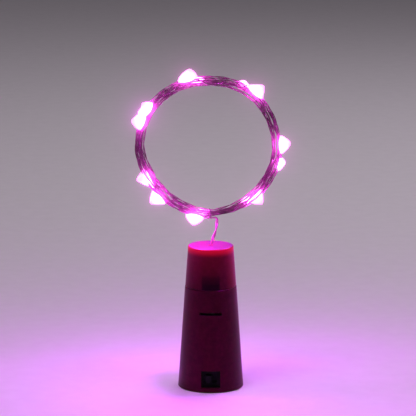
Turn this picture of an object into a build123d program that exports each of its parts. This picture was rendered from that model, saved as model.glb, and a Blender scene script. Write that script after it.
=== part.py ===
from build123d import *
import math
import os

# Cork bottle light: a cork-shaped battery case with a slide switch, whose narrow end pulls off to change
# three button cells, and a string of fine wire with cast light drops, stored as a round coil that stands
# on its own stiff lead above the case.
# Millimetres, +Z up, the front with the switch faces -Y. The origin is the middle of the base.

# Button cells, which set the size of everything round them
cell_count = 3
cell_radius = 5.8
cell_height = 5.4
cell_rim = 0.45
cell_seal_width = 0.6
cell_cap_step = 0.45
cell_seal_depth = 1.2
cell_seal_lip = 0.1

# Battery tube inside the wide part
cell_clearance = 0.2
tube_wall = 0.8
tube_floor = 0.8
tube_recess = 0.5
tube_collar = 1.0
tongue_width = 6.1
tongue_reach = 5.2
tongue_bead_height = 1.0
tongue_bead_step = 0.13
tongue_grip_gap = 0.12

# Wide part of the case
wall = 1.2
sleeve_gap = 0.78
sleeve_flare = 2.4
guide_depth = 8.25
seam_gap = 0.1
seam_chamfer = 0.1
seam_step = 0.1
fit = 0.1
running_gap = 0.3
overrun = 1.0

# Base plate
plate_flange = 1.2
plate_chamfer = 0.35
spigot_height = 1.2
spigot_wall = 0.9
post_radius = 0.9
post_circle_share = 0.8
post_angles = (40, 140, 195)

# Narrow part of the case, which pulls off
cap_height = 14.2
cap_taper = 1.0
cap_top = 1.4
cap_edge = 0.25
wire_hole_radius = 0.8

# Pull-tab slot through the wide part and the tube
tab_slot_width = 7.5
tab_slot_height = 0.9

# Slide switch, seen through a square window low on the front
window_width = 6.5
window_height = 6.0
case_lip = 0.3
case_front = 0.8
case_side = 0.5
board_thickness = 0.8
knob_travel = 1.5
knob_width = 2.0
knob_height = 2.4
knob_reach = 1.5
knob_plate_cover = 0.1
knob_plate_height = 3.6
knob_plate_thickness = 0.7
grip_groove_width = 0.3
grip_groove_depth = 0.25
wiper_thickness = 0.3
wiper_length = 2.4
wiper_width = 1.2
wiper_gap = 0.4
terminal_size = 0.65
terminal_head = 0.3
terminal_length = 1.2

# Sheet-metal contacts and the spring under the cells
contact_gap = 0.3
strip_thickness = 0.3
strip_width = 2.0
strip_clearance = 0.05
strip_foot = 4.2
strip_leaf_length = 2.6
strip_jog = 1.0
plate_clearance = 1.0
plate_tab_width = 1.6
spring_wire = 0.4
spring_height = 1.85
spring_inset = 0.8
spring_high_radius = 2.0
spring_turns = 2.5

# Contact holder and circuit board inside the narrow part
holder_clearance = 0.3
holder_wall = 1.1
holder_floor = 1.3
holder_flange = 1.0
holder_boss_radius = 1.6
tongue_headroom = 0.6
rivet_head_radius = 3.0
rivet_head = 0.4
rivet_radius = 0.6
rivet_fit = 0.05
ring_height = 2.5
ring_thickness = 0.2
ring_rise = 3.2
ring_tail_width = 1.5
board_ledge = 1.05
solder_radius = 0.7
solder_sides = 8
solder_height = 0.5
chip_resistor_length = 3.2
chip_resistor_width = 1.6
chip_resistor_height = 0.55
chip_resistor_end = 0.5
lead_joint_x = 1.5
lead_joint_y = 2.2
lead_bundle_offset = 0.3
inner_lead_size = 0.4
glue_radius = 1.9
glue_blob = 1.0
glue_drop = 0.6

# Jumper wire from the switch to the side strip
jumper_diameter = 0.8
jumper_bend = 1.2
jumper_sides = 6

# Stiff lead from the wire hole to the coil: points from the middle of the top face, chosen by hand
lead_diameter = 1.0
lead_points = (
    (0.0, 0.0, -0.6),
    (0.35, -0.2, 1.6),
    (1.65, -0.8, 4.6),
    (2.0, -1.35, 7.4),
    (2.3, -1.65, 10.08),
)
lead_sides = 8
bend_share = 0.45

# Coil of the light string, standing in the XZ plane
coil_wire = 0.48
coil_outer_radius = 25.0
coil_inner_radius = 21.5
coil_layers = 4
coil_layer_pitch = 1.1
coil_start_angle = 278.0
coil_end_tail = 4.0
coil_climb_turns = 0.5
coil_steps_per_turn = 4
spring_steps_per_turn = 2
samples_per_arc = 10
apart_turns = 0.3
way_share = 0.25

# Light drops in their order along the wire: angle round the coil seen from the front, and roll about the
# wire, where nothing is straight out and a positive roll leans to the front
drop_angles = (
    161.0, 259.6, 1.5, 106.7, 226.6, 313.3, 47.7, 147.6,
    265.5, 346.7, 99.0, 210.0, 306.0, 59.0, 153.5,
)
drop_rolls = (
    10, 15, 10, 5, 20, 15, 0, 25,
    -75, -40, -70, 30, -70, -50, -65,
)

# One drop: a rounded wedge, longer along the wire than across it, with its size at each level as shares
drop_length = 4.7
drop_width = 3.1
drop_height = 3.5
drop_below_wire = 0.75
drop_level_shares = (0.0, 0.24, 0.7, 1.0)
drop_section_shares = (0.78, 1.0, 0.62, 0.22)
drop_sides = 8
led_length = 1.6
led_width = 0.8
led_height = 0.5

# Places worked out from the sizes above
cell_cap_radius = cell_radius - cell_rim - cell_seal_width
tube_bore_radius = cell_radius + cell_clearance
tube_radius = tube_bore_radius + tube_wall
seam_radius = tube_radius + sleeve_gap + wall
shoulder_radius = seam_radius + seam_step
base_radius = shoulder_radius + sleeve_flare
top_radius = seam_radius - cap_taper
knob_slot_width = knob_width + knob_travel + 2 * running_gap
knob_plate_width = knob_slot_width + knob_travel + 2 * knob_plate_cover
case_width = knob_plate_width + knob_travel + 2 * (running_gap + case_side)
case_height = window_height + 2 * case_lip
case_depth = case_front + running_gap + knob_plate_thickness + wiper_thickness + wiper_gap + terminal_head
terminal_pitch = knob_travel
case_low = plate_flange + fit
case_high = case_low + case_height
floor_low = case_high + fit
floor_high = floor_low + tube_floor
stack_low = floor_high + strip_thickness + spring_height
stack_high = stack_low + cell_count * cell_height
sleeve_top = stack_high + guide_depth
tube_top = sleeve_top - tube_recess
tongue_top = sleeve_top + tongue_reach
cap_low = sleeve_top + seam_gap
top_face = sleeve_top + cap_height
cap_ceiling = top_face - cap_top
cap_bore_radius = tube_radius + tongue_bead_step + tongue_grip_gap
bead_radius = tube_radius + tongue_bead_step
plate_radius = tube_bore_radius - plate_clearance
spring_low_radius = plate_radius - spring_inset
board_radius = cap_bore_radius - board_ledge
slot_middle = stack_high + contact_gap / 2
holder_radius = tube_bore_radius - holder_clearance
holder_low = stack_high + contact_gap + rivet_head
flange_low = tongue_top + tongue_headroom
board_low = flange_low + holder_flange
board_high = board_low + board_thickness
ring_low = holder_low + ring_rise
ring_high = ring_low + ring_height
leaf_middle = ring_low + ring_height / 2
glue_low = cap_ceiling - glue_blob
glue_high = top_face - glue_drop
window_middle = (case_low + case_high) / 2


def sleeve_radius(height):
    """Outer radius of the wide part at a height."""
    return base_radius - sleeve_flare * height / sleeve_top


def cap_radius(height):
    """Outer radius of the narrow part at a height."""
    return seam_radius - cap_taper * (height - sleeve_top) / cap_height


case_reach = sleeve_radius(case_high) - wall - fit
case_face = math.sqrt(case_reach**2 - (case_width / 2) ** 2)
case_back = case_face - case_depth
terminal_tip = case_back - board_thickness - terminal_length


def turned(outline):
    """A solid turned about Z from (radius, height) points."""
    return revolve(make_face(Polyline(*[(r, 0, z) for r, z in outline], close=True)), Axis.Z)


def block(low, high):
    """A box between two corners."""
    size = [b - a for a, b in zip(low, high)]
    return Pos(*low) * Box(*size, align=(Align.MIN, Align.MIN, Align.MIN))


def outer_circle(solid, height):
    """The largest round edge of a turned solid near a height."""
    circles = solid.edges().filter_by(GeomType.CIRCLE)
    level = circles.filter_by_position(Axis.Z, height - fit / 2, height + fit / 2)
    return level.sort_by(SortBy.RADIUS)[-1]


def lower_shell():
    """Wide tapered sleeve with the switch window and the pull-tab slot."""
    shell = turned([
        (sleeve_radius(plate_flange), plate_flange),
        (shoulder_radius, sleeve_top),
        (shoulder_radius - wall, sleeve_top),
        (sleeve_radius(plate_flange) - wall, plate_flange),
    ])
    shell = chamfer(outer_circle(shell, sleeve_top), seam_chamfer)
    window = block(
        (-window_width / 2, -base_radius - overrun, window_middle - window_height / 2),
        (window_width / 2, 0, window_middle + window_height / 2),
    )
    return shell - window - tab_slot()


def tab_slot():
    """The space that the pull tab left, open to the front only."""
    return block(
        (-tab_slot_width / 2, -base_radius - overrun, slot_middle - tab_slot_height / 2),
        (tab_slot_width / 2, 0, slot_middle + tab_slot_height / 2),
    )


def base_plate():
    """Round plate glued into the wide end, with a spigot and three posts under the battery tube."""
    spigot_radius = sleeve_radius(plate_flange + spigot_height) - wall - fit
    plate = turned([
        (0, 0),
        (base_radius - plate_chamfer, 0),
        (sleeve_radius(plate_chamfer), plate_chamfer),
        (sleeve_radius(plate_flange), plate_flange),
        (spigot_radius, plate_flange),
        (spigot_radius, plate_flange + spigot_height),
        (spigot_radius - spigot_wall, plate_flange + spigot_height),
        (spigot_radius - spigot_wall, plate_flange),
        (0, plate_flange),
    ])
    notch = block(
        (-case_width / 2 - fit, -base_radius, plate_flange),
        (case_width / 2 + fit, 0, plate_flange + spigot_height + overrun),
    )
    plate -= notch
    post = Cylinder(post_radius, floor_low - plate_flange, align=(Align.CENTER, Align.CENTER, Align.MIN))
    circle = post_circle_share * (sleeve_radius(floor_low) - wall)
    for angle in post_angles:
        plate += Rot(0, 0, angle) * Pos(circle, 0, plate_flange) * post
    return plate


def battery_tube():
    """Dark liner that holds the cells, with a floor disc, a collar and two tongues that grip the cap."""
    disc_radius = sleeve_radius(floor_high) - wall - fit
    collar_radius = shoulder_radius - wall - fit
    tube = turned([
        (0, floor_low),
        (disc_radius, floor_low),
        (disc_radius, floor_high),
        (tube_radius, floor_high),
        (tube_radius, tube_top - tube_collar),
        (collar_radius, tube_top - tube_collar),
        (collar_radius, tube_top),
        (tube_bore_radius, tube_top),
        (tube_bore_radius, floor_high),
        (0, floor_high),
    ])
    bead_low = tongue_top - tongue_bead_height
    ring = turned([
        (tube_bore_radius, tube_top),
        (tube_radius, tube_top),
        (tube_radius, bead_low),
        (bead_radius, (bead_low + tongue_top) / 2),
        (tube_radius, tongue_top),
        (tube_bore_radius, tongue_top),
    ])
    tongues = ring & block(
        (-tongue_width / 2, -base_radius, tube_top), (tongue_width / 2, base_radius, tongue_top)
    )
    tube += tongues
    tube -= tab_slot()
    half = strip_width / 2 + running_gap
    leaf_window = block(
        (0, -half, leaf_middle - strip_leaf_length / 2 - strip_jog - running_gap),
        (tube_radius + overrun, half, leaf_middle + strip_leaf_length / 2 + running_gap),
    )
    strip_notch = block(
        (tube_radius, -half, floor_low - overrun),
        (tube_radius + strip_thickness + running_gap, half, floor_high),
    )
    plate_slot = block(
        (-terminal_pitch - plate_tab_width / 2 - fit, -terminal_tip - fit, floor_low - overrun),
        (-terminal_pitch + plate_tab_width / 2 + fit, -terminal_tip + strip_thickness + fit, floor_high),
    )
    return tube - leaf_window - strip_notch - plate_slot


def cell(low):
    """One button cell, its small face down: the can, the seal ring and the small cap."""
    seal_radius = cell_cap_radius + cell_seal_width
    rim = low + cell_cap_step
    pocket = rim + cell_seal_depth
    can = turned([
        (seal_radius, rim),
        (cell_radius, rim),
        (cell_radius, low + cell_height),
        (0, low + cell_height),
        (0, pocket),
        (seal_radius, pocket),
    ])
    seal = turned([
        (cell_cap_radius, rim - cell_seal_lip),
        (seal_radius, rim - cell_seal_lip),
        (seal_radius, pocket),
        (cell_cap_radius, pocket),
    ])
    small_cap = turned([(0, low), (cell_cap_radius, low), (cell_cap_radius, pocket), (0, pocket)])
    return can, seal, small_cap


def biarc(start, start_way, end, end_way):
    """Two arcs that leave one point along one direction and reach another along its own."""
    chord = end - start
    bend = 2 * (1 - start_way.dot(end_way))
    lean = chord.dot(start_way + end_way)
    reach = (math.sqrt(lean**2 + bend * chord.dot(chord)) - lean) / bend
    middle = (start + end + (start_way - end_way) * reach) / 2
    first = TangentArc(start, middle, tangent=start_way)
    second = TangentArc(middle, end, tangent=first % 1)
    return [first, second]


def wound_path(place, low, high, steps, end_run):
    """Arcs through the points of a winding, from one turn value to another, with straight ends."""
    turns = [low + (high - low) * n / steps for n in range(steps + 1)]
    points = [Vector(*place(t)) for t in turns]
    near = (high - low) / steps * way_share
    ways = [(Vector(*place(t + near)) - Vector(*place(t - near))).normalized() for t in turns]
    edges = [Line(points[0] - ways[0] * end_run, points[0])]
    for n in range(steps):
        edges += biarc(points[n], ways[n], points[n + 1], ways[n + 1])
    edges.append(Line(points[-1], points[-1] + ways[-1] * end_run))
    return edges


def square_tube(edges, side):
    """A wire drawn with four flat sides along joined edges."""
    path = Wire(edges)
    start = path.position_at(0)
    across = Vector(0, 1, 0)
    return sweep(Plane(start, x_dir=across, z_dir=path.tangent_at(0)) * Rectangle(side, side), path)


def bent_tube(points, section, radii):
    """A wire of straight runs joined by tangent arcs, with its path."""
    path = FilletPolyline(*points, radius=radii)
    return sweep(Plane(path.position_at(0), z_dir=path.tangent_at(0)) * section, path), path


def bend_radii(points, share):
    """The radius of each bend of a route: a share of the shorter run over the tangent of half the turn."""
    radii = []
    for a, b, c in zip(points, points[1:], points[2:]):
        before, after = Vector(*b) - Vector(*a), Vector(*c) - Vector(*b)
        half = math.radians(before.get_angle(after)) / 2
        radii.append(share * min(before.length, after.length) / math.tan(half))
    return radii


def spring_place(turn):
    """A point on the conical spring at a number of turns from its wide end."""
    share = turn / spring_turns
    radius = spring_low_radius + (spring_high_radius - spring_low_radius) * share
    low = floor_high + strip_thickness + spring_wire / 2
    angle = 2 * math.pi * turn
    return radius * math.cos(angle), radius * math.sin(angle), low + (spring_height - spring_wire) * share


def negative_spring():
    """Conical spring that presses the stack of cells up."""
    steps = round(spring_steps_per_turn * spring_turns)
    edges = wound_path(spring_place, 0, spring_turns, steps, spring_wire)
    return square_tube(edges, spring_wire / math.sqrt(2))


def negative_plate():
    """Round contact plate under the spring, with a tab bent down to the switch."""
    plate = turned([
        (0, floor_high),
        (plate_radius, floor_high),
        (plate_radius, floor_high + strip_thickness),
        (0, floor_high + strip_thickness),
    ])
    tab_side = -terminal_pitch - plate_tab_width / 2
    tab = block(
        (tab_side, -terminal_tip, window_middle - terminal_size),
        (tab_side + plate_tab_width, -terminal_tip + strip_thickness, floor_high + strip_thickness),
    )
    return plate + tab


def side_strip():
    """Spring-metal strip up the tube's outside, jogged in through its window to the ring contact."""
    out = tube_radius + strip_clearance
    jog_low = leaf_middle - strip_leaf_length / 2 - strip_jog
    foot = floor_low - strip_foot
    outline = [
        (out, foot),
        (out + strip_thickness, foot),
        (out + strip_thickness, jog_low + strip_clearance),
        (tube_bore_radius + strip_thickness, jog_low + strip_jog + strip_clearance),
        (tube_bore_radius + strip_thickness, leaf_middle + strip_leaf_length / 2),
        (tube_bore_radius, leaf_middle + strip_leaf_length / 2),
        (tube_bore_radius, jog_low + strip_jog),
        (out, jog_low),
    ]
    face = make_face(Polyline(*[(x, 0, z) for x, z in outline], close=True))
    return extrude(face, strip_width / 2, dir=(0, 1, 0), both=True)


def switch_case():
    """Black moulded switch body, open at the back, with the slot that the knob slides in."""
    case = block((-case_width / 2, -case_face, case_low), (case_width / 2, -case_back, case_high))
    cavity = block(
        (-case_width / 2 + case_side, -case_face + case_front, case_low + case_side),
        (case_width / 2 - case_side, -case_back + overrun, case_high - case_side),
    )
    slot = block(
        (-knob_slot_width / 2, -case_face - overrun, window_middle - knob_height / 2 - running_gap),
        (knob_slot_width / 2, -case_back, window_middle + knob_height / 2 + running_gap),
    )
    return case - cavity - slot


def switch_board():
    """Small board that closes the back of the switch and carries its terminals."""
    board = block(
        (-case_width / 2, -case_back, case_low),
        (case_width / 2, -case_back + board_thickness, case_high),
    )
    for place in (-1, 0, 1):
        board -= terminal_shank(place)
    return board


def terminal_shank(place):
    """The part of a terminal that passes through the board."""
    half = terminal_size / 2
    x = place * terminal_pitch
    return block(
        (x - half, -case_back, window_middle - half), (x + half, -terminal_tip, window_middle + half)
    )


def switch_terminals():
    """Three flat terminals riveted through the switch board."""
    pins = []
    for place in (-1, 0, 1):
        x = place * terminal_pitch
        head = block(
            (x - terminal_size, -case_back - terminal_head, window_middle - terminal_size),
            (x + terminal_size, -case_back, window_middle + terminal_size),
        )
        pins.append(head + terminal_shank(place))
    return Compound(children=pins)


def switch_knob():
    """Black slide knob at the lit end of its travel, with its plate behind the slot and two grip grooves."""
    left = -knob_travel / 2
    tip = -case_face - knob_reach
    plate_front = -case_face + case_front + running_gap
    plate_back = plate_front + knob_plate_thickness
    stem = block(
        (left - knob_width / 2, tip, window_middle - knob_height / 2),
        (left + knob_width / 2, plate_front, window_middle + knob_height / 2),
    )
    plate = block(
        (left - knob_plate_width / 2, plate_front, window_middle - knob_plate_height / 2),
        (left + knob_plate_width / 2, plate_back, window_middle + knob_plate_height / 2),
    )
    knob = stem + plate
    for side in (-1, 1):
        x = left + side * grip_groove_width
        knob -= block(
            (x - grip_groove_width / 2, tip - overrun, window_middle - knob_height),
            (x + grip_groove_width / 2, tip + grip_groove_depth, window_middle + knob_height),
        )
    return knob


def switch_wiper():
    """Metal bridge on the back of the knob that joins two terminals."""
    left = -knob_travel / 2
    front = -case_face + case_front + running_gap + knob_plate_thickness
    return block(
        (left - wiper_length / 2, front, window_middle - wiper_width / 2),
        (left + wiper_length / 2, front + wiper_thickness, window_middle + wiper_width / 2),
    )


def jumper_wire():
    """Short insulated wire from the last switch terminal to the foot of the side strip."""
    strip_face = tube_radius + strip_clearance
    foot = floor_low - strip_foot + jumper_diameter
    start = (terminal_pitch, -terminal_tip, foot)
    corner = (terminal_pitch, 0, foot)
    end = (strip_face, 0, foot)
    section = RegularPolygon(jumper_diameter / 2, jumper_sides)
    tube, path = bent_tube([start, corner, end], section, jumper_bend)
    return tube


def top_cap():
    """Narrow tapered cap with the wire hole in its end."""
    cap = turned([
        (cap_radius(cap_low), cap_low),
        (top_radius, top_face),
        (wire_hole_radius, top_face),
        (wire_hole_radius, cap_ceiling),
        (board_radius + fit, cap_ceiling),
        (board_radius + fit, board_low),
        (cap_bore_radius, board_low),
        (cap_bore_radius, cap_low),
    ])
    cap = chamfer(outer_circle(cap, top_face), cap_edge)
    return chamfer(outer_circle(cap, cap_low), seam_chamfer)


def ring_contact(clearance):
    """Contact ring round the holder with a tail up to the board, grown by a clearance."""
    outer = holder_radius + clearance
    inner = holder_radius - ring_thickness - clearance
    ring = turned([
        (inner, ring_low - clearance),
        (outer, ring_low - clearance),
        (outer, ring_high + clearance),
        (inner, ring_high + clearance),
    ])
    tail = block(
        (-ring_tail_width / 2 - clearance, 0, ring_low),
        (ring_tail_width / 2 + clearance, outer, board_low),
    ) & turned([(inner, ring_low), (outer, ring_low), (outer, board_low), (inner, board_low)])
    return ring + tail


def contact_holder():
    """Moulded cup glued into the cap, which guides the cap in the tube and carries both contacts."""
    flange_radius = cap_bore_radius - fit
    bore = rivet_radius + rivet_fit
    holder = turned([
        (bore, holder_low),
        (holder_radius, holder_low),
        (holder_radius, flange_low),
        (flange_radius, flange_low),
        (flange_radius, board_low),
        (holder_radius - holder_wall, board_low),
        (holder_radius - holder_wall, holder_low + holder_floor),
        (holder_boss_radius, holder_low + holder_floor),
        (holder_boss_radius, board_low),
        (bore, board_low),
    ])
    tail_slot = block(
        (-ring_tail_width / 2 - rivet_fit, holder_radius - ring_thickness - rivet_fit, flange_low),
        (ring_tail_width / 2 + rivet_fit, flange_radius + overrun, board_low),
    )
    return holder - ring_contact(rivet_fit) - tail_slot


def centre_contact():
    """Brass rivet with a broad head that touches the top cell and a shank up to the board."""
    return turned([
        (0, holder_low - rivet_head),
        (rivet_head_radius, holder_low - rivet_head),
        (rivet_head_radius, holder_low),
        (rivet_radius, holder_low),
        (rivet_radius, board_high),
        (0, board_high),
    ])


def circuit_board():
    """Round board on top of the holder."""
    return turned([
        (rivet_radius + rivet_fit, board_low),
        (board_radius, board_low),
        (board_radius, board_high),
        (rivet_radius + rivet_fit, board_high),
    ])


def solder_joints():
    """Solder on the rivet, on the ring's tail and on both leads."""
    bead = extrude(RegularPolygon(solder_radius, solder_sides), solder_height)
    tail_y = holder_radius - ring_thickness - solder_radius
    places = [(0, 0), (0, tail_y), (-lead_joint_x, lead_joint_y), (lead_joint_x, lead_joint_y)]
    return Compound(children=[Pos(x, y, board_high) * bead for x, y in places])


def resistor():
    """Chip resistor in series with the string: the body and its two metal ends."""
    half = chip_resistor_length / 2
    front = -board_radius / 2 - chip_resistor_width / 2
    cuts = (-half, -half + chip_resistor_end, half - chip_resistor_end, half)
    return Compound(children=[
        block((a, front, board_high), (b, front + chip_resistor_width, board_high + chip_resistor_height))
        for a, b in zip(cuts, cuts[1:])
    ])


def inner_leads():
    """Two wires from the board up to the glue in the wire hole."""
    low = board_high + solder_height
    knee = (low + glue_low) / 2
    leads = []
    for side in (-1, 1):
        start = Vector(side * lead_joint_x, lead_joint_y, low)
        bend = Vector(side * lead_joint_x, lead_joint_y, knee)
        end = Vector(side * lead_bundle_offset, 0, glue_low)
        path = FilletPolyline(start, bend, end, radius=inner_lead_size)
        section = Plane(start, z_dir=(0, 0, 1)) * Rectangle(inner_lead_size, inner_lead_size)
        leads.append(sweep(section, path))
    return Compound(children=leads)


def glue_plug():
    """Hot glue that fills the wire hole from below and holds the lead."""
    return turned([
        (0, glue_low),
        (glue_radius, glue_low),
        (glue_radius, cap_ceiling),
        (wire_hole_radius, cap_ceiling),
        (wire_hole_radius, glue_high),
        (0, glue_high),
    ])


def lead_wire():
    """Stiff twisted pair from the wire hole up to the coil."""
    points = [(x, y, top_face + z) for x, y, z in lead_points]
    radii = bend_radii(points, bend_share)
    section = RegularPolygon(lead_diameter / 2, lead_sides)
    tube, path = bent_tube(points, section, radii)
    print("lead radii", [round(r, 1) for r in radii], "length", round(path.length, 2))
    print("lead volume over section times length", round(tube.volume / (section.area * path.length), 4))
    return tube


def coil_total_turns():
    """Turns from the lead to the last drop, wound clockwise as seen from the front."""
    travelled = coil_start_angle - drop_angles[0]
    for before, after in zip(drop_angles, drop_angles[1:]):
        travelled += (before - after) % 360
    return (travelled + coil_end_tail) / 360


coil_turns = coil_total_turns()
layer_turns = coil_turns / coil_layers
wind_outer = coil_outer_radius - coil_wire / 2
wind_inner = coil_inner_radius + coil_wire / 2


def way_out(angle):
    """Direction straight out of the ring at an angle."""
    return Vector(math.cos(math.radians(angle)), 0, math.sin(math.radians(angle)))


lead_end = Vector(lead_points[-1][0], 0, top_face + lead_points[-1][2])
coil_centre = lead_end - way_out(coil_start_angle) * wind_outer


def layer_offset(layer):
    """How far a layer of the coil lies behind the middle of the ring."""
    return (layer - (coil_layers - 1) / 2) * coil_layer_pitch


def coil_radius(turn):
    """Radius of the winding: a steady spiral in and out again, once for every two layers."""
    phase = (turn / layer_turns) % 2
    inward = phase if phase < 1 else 2 - phase
    return wind_outer + (wind_inner - wind_outer) * inward


def coil_depth(turn):
    """Depth of the winding: one layer at a time, climbing in the half turn where the spiral reverses."""
    layer = min(max(round(turn / layer_turns), 1), coil_layers - 1)
    climb = (turn - layer * layer_turns) / coil_climb_turns + 1 / 2
    return layer_offset(layer - 1 + min(max(climb, 0), 1))


def coil_place(turn):
    """A point on the winding at a number of turns from the lead."""
    place = coil_centre + way_out(coil_start_angle - 360 * turn) * coil_radius(turn)
    return place.X, place.Y + coil_depth(turn), place.Z


def wire_coil():
    """The light string wound into a ring: one unbroken wire in four layers."""
    steps = round(coil_turns * coil_steps_per_turn)
    edges = wound_path(coil_place, 0, coil_turns, steps, coil_wire)
    length = sum(edge.length for edge in edges)
    print("coil turns", round(coil_turns, 2), "length", round(length, 1))
    samples = []
    for edge in edges[1:-1]:
        samples += [tuple(edge.position_at(n / samples_per_arc)) for n in range(samples_per_arc)]
    apart = round(len(samples) * apart_turns / coil_turns)
    least = min(
        math.dist(a, b) for n, a in enumerate(samples) for b in samples[n + apart:]
    )
    print("coil least gap to itself", round(least - coil_wire * math.sqrt(2), 3))
    tube = square_tube(edges, coil_wire)
    print("coil volume over section times length", round(tube.volume / (coil_wire**2 * length), 4))
    return tube


def drop_frame(number):
    """The place of a drop: on the outermost wire of a front or back layer, pointing out of the ring."""
    angle, roll = drop_angles[number], drop_rolls[number]
    front = roll >= 0
    near = ((coil_start_angle - angle) % 360) / 360
    laps = [near + lap for lap in range(math.ceil(coil_turns)) if near + lap <= coil_turns]
    ends = laps[:1] if front else laps[-1:]
    place = Vector(*coil_place(ends[0]))
    out = way_out(angle)
    along = Vector(-out.Z, 0, out.X)
    lean = math.radians(roll)
    axis = out * math.cos(lean) + Vector(0, -1, 0) * math.sin(lean)
    return Plane(place, x_dir=along, z_dir=axis)


def drop_section(level_share, section_share):
    """Corners of the eight-sided outline of a drop at one level."""
    height = drop_height * level_share - drop_below_wire
    corners = []
    for n in range(drop_sides):
        angle = 2 * math.pi * (n + 1 / 2) / drop_sides
        x = drop_length / 2 * section_share * math.cos(angle)
        y = drop_width / 2 * section_share * math.sin(angle)
        corners.append((x, y, height))
    return corners


def flat_face(*corners):
    """A flat face with straight sides."""
    return make_face(Polyline(*corners, close=True))


def led_drop(number):
    """One clear resin drop cast over its chip and the wire: flat sides between sections of one shape."""
    sections = [drop_section(*shares) for shares in zip(drop_level_shares, drop_section_shares)]
    faces = [flat_face(*sections[0]), flat_face(*sections[-1])]
    for low, high in zip(sections, sections[1:]):
        faces += [flat_face(low[n - 1], low[n], high[n], high[n - 1]) for n in range(drop_sides)]
    return drop_frame(number) * Solid(Shell(faces))


def led_chips():
    """The light chips, one soldered across the wires inside each drop."""
    chip = Pos(0, 0, coil_wire / 2) * Box(
        led_length, led_width, led_height, align=(Align.CENTER, Align.CENTER, Align.MIN)
    )
    return Compound(children=[drop_frame(n) * chip for n in range(len(drop_angles))])


os.makedirs("parts", exist_ok=True)


def write(shape, name):
    """Write one piece under its name."""
    export_step(shape, f"parts/{name}.step")


write(lower_shell(), "lower_shell")
write(base_plate(), "base_plate")
write(battery_tube(), "battery_tube")
for number in range(cell_count):
    can, seal, small_cap = cell(stack_low + number * cell_height)
    write(can, f"cell_{number + 1}_can")
    write(seal, f"cell_{number + 1}_seal")
    write(small_cap, f"cell_{number + 1}_cap")
write(negative_plate(), "negative_plate")
write(negative_spring(), "negative_spring")
write(side_strip(), "side_strip")
write(switch_case(), "switch_case")
write(switch_board(), "switch_board")
write(switch_terminals(), "switch_terminals")
write(jumper_wire(), "jumper_wire")
write(switch_knob(), "switch_knob")
write(switch_wiper(), "switch_wiper")
write(top_cap(), "top_cap")
write(contact_holder(), "contact_holder")
write(centre_contact(), "centre_contact")
write(ring_contact(0), "ring_contact")
write(circuit_board(), "circuit_board")
write(solder_joints(), "solder_joints")
write(resistor(), "resistor")
write(inner_leads(), "inner_leads")
write(glue_plug(), "glue_plug")
write(lead_wire(), "lead_wire")
write(wire_coil(), "wire_coil")
write(led_chips(), "led_chips")
for number in range(len(drop_angles)):
    write(led_drop(number), f"led_drop_{number + 1:02d}")
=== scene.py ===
import math

import bmesh
import bpy
import numpy as np
from mathutils import Matrix, Vector


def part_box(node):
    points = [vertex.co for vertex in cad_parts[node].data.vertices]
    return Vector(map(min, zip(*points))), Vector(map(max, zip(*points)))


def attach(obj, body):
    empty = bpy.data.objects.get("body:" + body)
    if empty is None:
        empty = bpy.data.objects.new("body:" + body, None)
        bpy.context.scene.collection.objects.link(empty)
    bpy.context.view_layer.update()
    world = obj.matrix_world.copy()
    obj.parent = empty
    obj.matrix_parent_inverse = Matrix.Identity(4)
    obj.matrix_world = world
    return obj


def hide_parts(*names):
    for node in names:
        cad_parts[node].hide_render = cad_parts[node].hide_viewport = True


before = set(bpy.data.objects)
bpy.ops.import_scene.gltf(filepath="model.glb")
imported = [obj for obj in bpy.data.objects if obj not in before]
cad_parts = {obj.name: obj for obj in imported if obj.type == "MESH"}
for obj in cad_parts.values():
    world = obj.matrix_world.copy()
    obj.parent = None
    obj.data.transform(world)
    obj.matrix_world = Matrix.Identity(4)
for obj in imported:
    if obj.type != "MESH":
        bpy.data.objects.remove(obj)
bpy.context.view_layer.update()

# Case: the round base plate, the wide sleeve glued to it and the narrow cap that pulls off.
# All three are injection moulded in wine-brown polypropylene with a faint cork grain, thin enough for
# strong light to bleed through the cap.
mm = 0.001
cork_dark = "#310515"
cork_body = "#3A0618"
cork_light = "#460A1F"
cork_fleck = "#22040D"
cork_shadow = "#0A0105"
cork_sheen = "#FF3CDC"
cork_gleam = "#FF46DC"
cork_glow = "#FF0A2C"
top_glow_tint = "#5A24FF"
cork_mottle = 1.7 * mm
cork_pore = 0.55 * mm
cork_spark = 0.14 * mm
cork_depth = 0.025 * mm
cork_edge = 0.18 * mm
cork_bleed = 1.6 * mm
tongue_half_width = 3.05 * mm
tongue_soft = 0.3 * mm
tongue_tall = 5.6 * mm
slot_half_width = 3.8 * mm
slot_half_height = 0.52 * mm
slot_rise = 0.15 * mm
rim_glow_depth = 3.2 * mm
rim_glow = 0.42
cap_glow = 0.05
flank_glow = 0.055
top_glow = 0.22


def srgb(code):
    """Turns an sRGB hex colour into linear red, green, blue and alpha."""
    parts = [int(code[i:i + 2], 16) / 255 for i in (1, 3, 5)]
    return tuple(c / 12.92 if c <= 0.04045 else ((c + 0.055) / 1.055) ** 2.4 for c in parts) + (1.0,)


def add(material, kind, settings=None, links=None):
    """Adds a node to a material with its settings, and links its inputs to other nodes' outputs."""
    made = material.node_tree.nodes.new("ShaderNode" + kind)
    for name, value in (settings or {}).items():
        if name == "stops":
            ramp = made.color_ramp.elements
            while len(ramp) < len(value):
                ramp.new(1.0)
            for element, (place, colour) in zip(ramp, value):
                element.position = place
                element.color = srgb(colour)
        elif isinstance(name, int) or name in made.inputs:
            made.inputs[name].default_value = value
        else:
            setattr(made, name, value)
    for name, source in (links or {}).items():
        material.node_tree.links.new(source, made.inputs[name])
    return made


def surface(name, settings):
    """Starts a material: its shader takes the settings, and its object coordinates come back too."""
    material = bpy.data.materials.new(name)
    material.use_nodes = True
    shader = material.node_tree.nodes["Principled BSDF"]
    for key, value in settings.items():
        shader.inputs[key].default_value = value
    place = add(material, "TexCoord").outputs["Object"]
    return material, shader, place


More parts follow.
